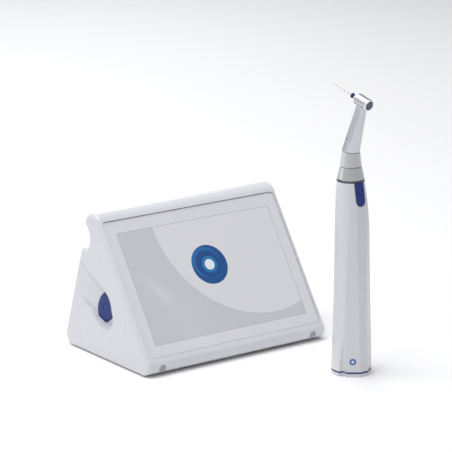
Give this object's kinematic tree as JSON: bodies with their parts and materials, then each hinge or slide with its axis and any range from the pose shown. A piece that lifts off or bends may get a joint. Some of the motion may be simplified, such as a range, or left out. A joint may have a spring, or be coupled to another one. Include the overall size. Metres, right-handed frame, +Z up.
{
  "type": "endodontic motor",
  "caption": "Wedge-shaped touch console with a cradle along its top and a cordless contra-angle handpiece that turns a root canal file.",
  "frame": {"origin": "on the table, midway between the console's back and the front of the standing handpiece, in line with the console's middle", "axes": "+Z up, along the standing handpiece; the console's screen faces -Y and its power button is at -X"},
  "size_m": [0.179, 0.2167, 0.2319],
  "materials": {
    "white_housing": "semi-gloss moulded",
    "blue_button": "satin moulded",
    "screen_glass": "polished",
    "display": "smooth",
    "grey_plug": "matt",
    "satin_steel": "satin",
    "dark_steel": "dark satin",
    "black_rubber": "matt",
    "circuit_board": "solder mask",
    "black_plastic": "moulded",
    "copper_winding": "enamelled",
    "brass_bearing": "polished",
    "battery_wrap": "shrink wrap",
    "gold_niti": "satin",
    "blue_silicone": "matt"
  },
  "bodies": {
    "console": {"console_housing": "white_housing", "base_plate": "white_housing", "cover_glass": "screen_glass", "display_panel": "display", "display_bracket": "satin_steel", "main_board": "circuit_board", "power_switch": "black_plastic", "button_board": "circuit_board", "power_inlet": "black_plastic", "charging_coil": "copper_winding", "speaker": "black_plastic", "front_plug_left": "grey_plug", "front_plug_right": "grey_plug", "foot_1": "black_rubber", "foot_2": "black_rubber", "foot_3": "black_rubber", "foot_4": "black_rubber", "base_screw_1": "dark_steel", "base_screw_2": "dark_steel", "base_screw_3": "dark_steel", "base_screw_4": "dark_steel", "bracket_screw_1": "satin_steel", "bracket_screw_2": "satin_steel", "bracket_screw_3": "satin_steel", "bracket_screw_4": "satin_steel"},
    "power_button": {"power_button": "blue_button"},
    "handpiece": {"body_sleeve": "white_housing", "base_cap": "white_housing", "base_seal": "blue_button", "charge_receiver": "copper_winding", "battery_cell": "battery_wrap", "inner_frame": "black_plastic", "handpiece_board": "circuit_board", "finger_switch": "black_plastic", "motor_can": "satin_steel", "motor_bearing_front": "brass_bearing", "motor_end_bell": "black_plastic", "motor_bearing_rear": "brass_bearing", "nose_tube": "satin_steel", "nose_o_ring": "black_rubber"},
    "finger_button": {"finger_button": "blue_button"},
    "motor_rotor": {"motor_rotor": "satin_steel"},
    "coupling_ring": {"coupling_ring": "dark_steel"},
    "contra_angle": {"contra_base_sleeve": "satin_steel", "contra_collar": "satin_steel", "contra_neck": "satin_steel", "drive_shaft_bearing": "brass_bearing", "upper_shaft_bearing": "brass_bearing", "head_bearing_front": "brass_bearing", "head_bearing_rear": "brass_bearing", "head_cap_ring": "satin_steel", "cap_spring": "satin_steel"},
    "drive_shaft": {"drive_shaft": "satin_steel"},
    "upper_shaft": {"upper_shaft": "satin_steel"},
    "spindle": {"spindle": "satin_steel"},
    "head_cap": {"head_cap": "dark_steel"},
    "file": {"file_shank": "satin_steel", "file_blade": "gold_niti"},
    "depth_stopper": {"depth_stopper": "blue_silicone"}
  },
  "joints": [
    {"name": "power_button_press", "type": "slide", "parent": "console", "child": "power_button", "axis": [0.9744, 0.225, 0], "range_m": [0, 0.0008], "stiffness_N_per_m": 900, "springref_m": -0.0006},
    {"name": "handpiece_lift", "type": "slide", "parent": "console", "child": "handpiece", "axis": [0, 0, 1], "range_m": [0, 0.15]},
    {"name": "finger_button_press", "type": "slide", "parent": "handpiece", "child": "finger_button", "axis": [0, 1, 0], "range_m": [0, 0.0006], "stiffness_N_per_m": 900, "springref_m": -0.0005},
    {"name": "motor_spin", "type": "hinge", "parent": "handpiece", "child": "motor_rotor", "pos_m": [0.053, -0.08715, 0.16], "axis": [0, 0, 1], "continuous": true},
    {"name": "contra_angle_swivel", "type": "hinge", "parent": "handpiece", "child": "coupling_ring", "pos_m": [0.053, -0.08715, 0.16], "axis": [0, 0, 1], "continuous": true},
    {"name": "contra_angle_pull", "type": "slide", "parent": "coupling_ring", "child": "contra_angle", "axis": [0, 0, 1], "range_m": [0, 0.03]},
    {"name": "drive_shaft_spin", "type": "hinge", "parent": "contra_angle", "child": "drive_shaft", "pos_m": [0.053, -0.08715, 0.175], "axis": [0, 0, 1], "continuous": true},
    {"name": "upper_shaft_spin", "type": "hinge", "parent": "contra_angle", "child": "upper_shaft", "pos_m": [0.053, -0.08715, 0.1807], "axis": [0.028, -0.291, 0.9563], "continuous": true},
    {"name": "spindle_spin", "type": "hinge", "parent": "contra_angle", "child": "spindle", "pos_m": [0.0542, -0.09958, 0.22153], "axis": [-0.0921, 0.9568, 0.2756], "continuous": true},
    {"name": "head_cap_press", "type": "slide", "parent": "contra_angle", "child": "head_cap", "axis": [-0.0921, 0.9568, 0.2756], "range_m": [0, 0.0008], "stiffness_N_per_m": 900, "springref_m": -0.0006},
    {"name": "file_pull", "type": "slide", "parent": "spindle", "child": "file", "axis": [-0.0921, 0.9568, 0.2756], "range_m": [0, 0.012]},
    {"name": "stopper_slide", "type": "slide", "parent": "file", "child": "depth_stopper", "axis": [-0.0921, 0.9568, 0.2756], "range_m": [-0.0015, 0.018]}
  ],
  "couplings": [
    {"joint": "drive_shaft_spin", "follows": "motor_spin", "ratio": 1},
    {"joint": "upper_shaft_spin", "follows": "motor_spin", "ratio": 1},
    {"joint": "spindle_spin", "follows": "motor_spin", "ratio": -0.5}
  ]
}
